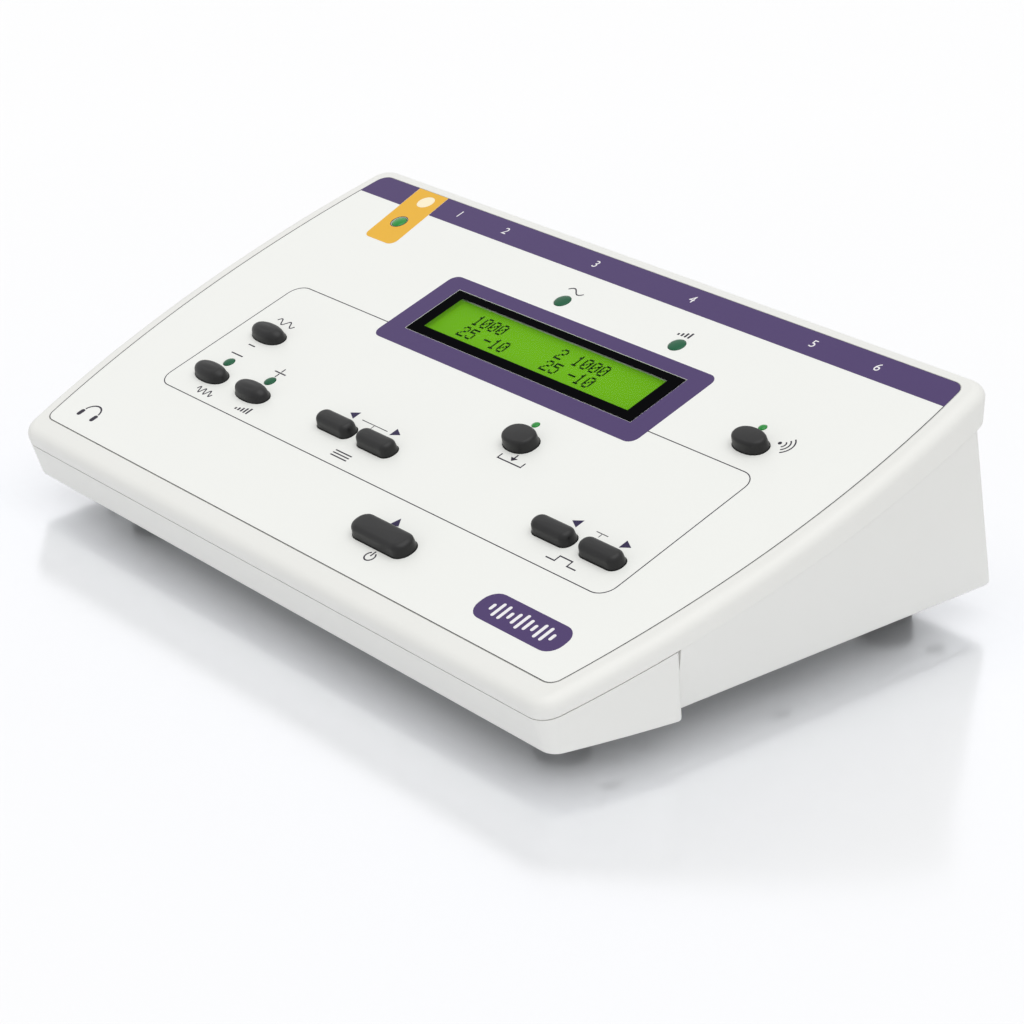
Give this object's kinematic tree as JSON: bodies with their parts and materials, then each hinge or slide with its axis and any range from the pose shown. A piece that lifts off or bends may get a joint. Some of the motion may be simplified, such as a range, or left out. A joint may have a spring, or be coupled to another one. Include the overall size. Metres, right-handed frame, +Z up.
{
  "type": "audiometer",
  "caption": "Desk-top screening audiometer: sloped white case, printed panel with oval and bar push buttons, green text display and rear sockets.",
  "frame": {"origin": "centre of the footprint box, on the table under the feet", "axes": "+X to the user's right along the case, +Y from the user to the back, +Z up"},
  "size_m": [0.276, 0.1684, 0.0767],
  "materials": {
    "case_plastic": "fine satin texture",
    "overlay_print": "printed satin polycarbonate",
    "window_plastic": "clear",
    "display_green": "backlit",
    "lens_green": "translucent green",
    "black_rubber": "matte",
    "black_plastic": "satin",
    "board_green": "solder mask",
    "dark_metal": "satin",
    "plated_metal": "nickel plated",
    "ribbon_grey": "smooth"
  },
  "bodies": {
    "case": {"top_shell": "case_plastic", "base_shell": "case_plastic", "panel_overlay": "overlay_print", "display_window": "window_plastic", "display_frame": "dark_metal", "display_glass": "display_green", "display_backlight": "window_plastic", "display_board": "board_green", "button_board": "board_green", "switch_housings": "black_plastic", "light_pipes": "lens_green", "light_chips": "window_plastic", "power_lamp": "lens_green", "main_board": "board_green", "main_chips": "black_plastic", "filter_capacitors": "dark_metal", "upper_ribbon_plugs": "black_plastic", "upper_ribbon": "ribbon_grey", "rear_ribbon_plugs": "black_plastic", "rear_ribbon": "ribbon_grey", "socket_board": "board_green", "left_headset_socket": "black_plastic", "right_headset_socket": "black_plastic", "high_frequency_socket": "black_plastic", "handset_socket": "black_plastic", "microphone_socket": "black_plastic", "power_inlet": "black_plastic", "power_inlet_pin": "plated_metal", "socket_nuts": "plated_metal", "case_screws": "plated_metal", "button_board_screws": "plated_metal", "display_screws": "plated_metal", "main_board_screws": "plated_metal", "rubber_feet": "black_rubber"},
    "tone_key": {"tone_button": "black_rubber", "tone_plunger": "black_plastic"},
    "frequency_key": {"frequency_button": "black_rubber", "frequency_plunger": "black_plastic"},
    "level_key": {"level_button": "black_rubber", "level_plunger": "black_plastic"},
    "menu_left_key": {"menu_left_button": "black_rubber", "menu_left_plunger": "black_plastic"},
    "menu_right_key": {"menu_right_button": "black_rubber", "menu_right_plunger": "black_plastic"},
    "store_key": {"store_button": "black_rubber", "store_plunger": "black_plastic"},
    "talk_key": {"talk_button": "black_rubber", "talk_plunger": "black_plastic"},
    "power_key": {"power_button": "black_rubber", "power_plunger": "black_plastic"},
    "response_left_key": {"response_left_button": "black_rubber", "response_left_plunger": "black_plastic"},
    "response_right_key": {"response_right_button": "black_rubber", "response_right_plunger": "black_plastic"}
  },
  "joints": [
    {"name": "tone_press", "type": "slide", "parent": "case", "child": "tone_key", "axis": [0, 0.3272, -0.9449], "range_m": [0, 0.0015], "stiffness_N_per_m": 600, "springref_m": -0.001},
    {"name": "frequency_press", "type": "slide", "parent": "case", "child": "frequency_key", "axis": [0, 0.3272, -0.9449], "range_m": [0, 0.0015], "stiffness_N_per_m": 600, "springref_m": -0.001},
    {"name": "level_press", "type": "slide", "parent": "case", "child": "level_key", "axis": [0, 0.3272, -0.9449], "range_m": [0, 0.0015], "stiffness_N_per_m": 600, "springref_m": -0.001},
    {"name": "menu_left_press", "type": "slide", "parent": "case", "child": "menu_left_key", "axis": [0, 0.3272, -0.9449], "range_m": [0, 0.0015], "stiffness_N_per_m": 600, "springref_m": -0.001},
    {"name": "menu_right_press", "type": "slide", "parent": "case", "child": "menu_right_key", "axis": [0, 0.3272, -0.9449], "range_m": [0, 0.0015], "stiffness_N_per_m": 600, "springref_m": -0.001},
    {"name": "store_press", "type": "slide", "parent": "case", "child": "store_key", "axis": [0, 0.3272, -0.9449], "range_m": [0, 0.0015], "stiffness_N_per_m": 600, "springref_m": -0.001},
    {"name": "talk_press", "type": "slide", "parent": "case", "child": "talk_key", "axis": [0, 0.3272, -0.9449], "range_m": [0, 0.0015], "stiffness_N_per_m": 600, "springref_m": -0.001},
    {"name": "power_press", "type": "slide", "parent": "case", "child": "power_key", "axis": [0, 0.3272, -0.9449], "range_m": [0, 0.0015], "stiffness_N_per_m": 600, "springref_m": -0.001},
    {"name": "response_left_press", "type": "slide", "parent": "case", "child": "response_left_key", "axis": [0, 0.3272, -0.9449], "range_m": [0, 0.0015], "stiffness_N_per_m": 600, "springref_m": -0.001},
    {"name": "response_right_press", "type": "slide", "parent": "case", "child": "response_right_key", "axis": [0, 0.3272, -0.9449], "range_m": [0, 0.0015], "stiffness_N_per_m": 600, "springref_m": -0.001}
  ]
}
